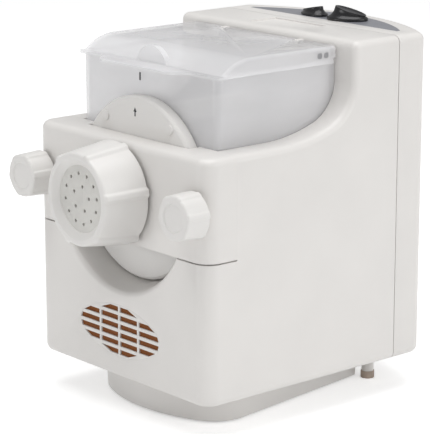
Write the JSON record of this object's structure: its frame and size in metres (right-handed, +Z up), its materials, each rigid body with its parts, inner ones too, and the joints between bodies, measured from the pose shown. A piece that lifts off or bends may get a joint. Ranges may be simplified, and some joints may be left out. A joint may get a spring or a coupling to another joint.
{
  "type": "electric pasta maker",
  "caption": "Countertop electric pasta maker with a clear mixing bowl and hinged lid over a front extrusion nozzle, held by a ribbed die nut, with a geared motor in the base.",
  "frame": {"origin": "middle of the bounding box at the table", "axes": "X runs across the machine, Y from the die at the front to the back, Z up"},
  "size_m": [0.2256, 0.299, 0.3026],
  "materials": {
    "shell_white": "satin moulded plastic with a very fine grain",
    "disc_white": "satin moulded plastic",
    "die_white": "finely textured moulded plastic",
    "clear_plastic": "clear moulded plastic",
    "panel_grey": "satin grey plastic",
    "knob_black": "satin black plastic",
    "screen_brown": "woven dust screen",
    "rubber_dark": "matt rubber",
    "rubber_tan": "matt rubber",
    "seal_clear": "soft silicone",
    "leg_plastic": "matt dark plastic",
    "steel_bright": "turned steel",
    "gear_plastic": "plain engineering plastic",
    "gear_steel": "sintered steel",
    "brass_bush": "sintered bronze",
    "plate_zinc": "zinc-plated sheet",
    "stator_iron": "laminated iron",
    "copper_wire": "enamelled copper wire",
    "board_green": "lacquered circuit board"
  },
  "bodies": {
    "frame": {"main_housing": "shell_white", "front_cover": "shell_white", "rear_cover": "shell_white", "base_plinth": "shell_white", "front_feet": "rubber_dark", "rear_legs": "shell_white", "leg_caps": "rubber_tan", "vent_grille": "shell_white", "vent_screen": "screen_brown", "cover_screws": "steel_bright", "cord_gland": "rubber_dark", "mixing_bowl": "clear_plastic", "lid_hinge_pins": "steel_bright", "chamber_disc": "disc_white", "disc_seal": "seal_clear", "extrusion_die": "die_white", "clamp_studs": "steel_bright", "shaft_bush": "brass_bush", "shaft_seal": "rubber_dark", "gear_plate": "plate_zinc", "motor_stator": "stator_iron", "stator_windings": "copper_wire", "motor_front_bracket": "plate_zinc", "motor_rear_bracket": "plate_zinc", "motor_bearings": "steel_bright", "motor_bolts": "steel_bright", "control_panel": "panel_grey", "mode_switch": "leg_plastic", "power_switch": "leg_plastic", "lid_switch": "leg_plastic", "control_board": "board_green"},
    "lid": {"bowl_lid": "clear_plastic"},
    "plunger": {"switch_plunger": "leg_plastic"},
    "nut": {"die_nut": "disc_white"},
    "left_knob": {"left_thumb_knob": "disc_white"},
    "right_knob": {"right_thumb_knob": "disc_white"},
    "mode_dial": {"mode_knob": "knob_black", "mode_spindle": "steel_bright"},
    "power_dial": {"power_knob": "knob_black", "power_spindle": "steel_bright"},
    "drive": {"drive_shaft": "steel_bright", "output_gear": "gear_plastic", "mixing_paddle": "gear_plastic", "extrusion_auger": "gear_plastic"},
    "idler": {"idler_axle": "steel_bright", "idler_wheel": "gear_plastic", "idler_pinion": "gear_steel"},
    "motor": {"motor_shaft": "steel_bright", "motor_rotor": "stator_iron", "motor_pinion": "gear_steel", "cooling_fan": "leg_plastic"}
  },
  "joints": [
    {"name": "lid_hinge", "type": "hinge", "parent": "frame", "child": "lid", "pos_m": [0, 0.0365, 0.284], "axis": [-1, 0, 0], "range_deg": [0, 85]},
    {"name": "plunger_slide", "type": "slide", "parent": "frame", "child": "plunger", "axis": [0, -1, 0], "range_m": [0, 0.0025]},
    {"name": "nut_turn", "type": "hinge", "parent": "frame", "child": "nut", "pos_m": [0, -0.1295, 0.179], "axis": [0, -1, 0], "continuous": true},
    {"name": "left_knob_turn", "type": "hinge", "parent": "frame", "child": "left_knob", "pos_m": [-0.0943, -0.1215, 0.179], "axis": [0, -1, 0], "continuous": true},
    {"name": "right_knob_turn", "type": "hinge", "parent": "frame", "child": "right_knob", "pos_m": [0.0943, -0.1215, 0.179], "axis": [0, -1, 0], "continuous": true},
    {"name": "mode_turn", "type": "hinge", "parent": "frame", "child": "mode_dial", "pos_m": [0.0195, 0.114, 0.295], "axis": [0, 0, 1], "range_deg": [-60, 60]},
    {"name": "power_turn", "type": "hinge", "parent": "frame", "child": "power_dial", "pos_m": [-0.0195, 0.114, 0.295], "axis": [0, 0, 1], "range_deg": [-90, 0]},
    {"name": "drive_turn", "type": "hinge", "parent": "frame", "child": "drive", "pos_m": [0, 0.0405, 0.179], "axis": [0, -1, 0], "continuous": true},
    {"name": "idler_turn", "type": "hinge", "parent": "frame", "child": "idler", "pos_m": [0, 0.0655, 0.1145], "axis": [0, -1, 0], "continuous": true},
    {"name": "motor_turn", "type": "hinge", "parent": "frame", "child": "motor", "pos_m": [0, 0.0005, 0.072], "axis": [0, -1, 0], "continuous": true}
  ],
  "couplings": [
    {"joint": "plunger_slide", "follows": "lid_hinge", "m_per_rad": 0.0016852},
    {"joint": "idler_turn", "follows": "drive_turn", "ratio": -4.375},
    {"joint": "motor_turn", "follows": "drive_turn", "ratio": 22.188}
  ]
}
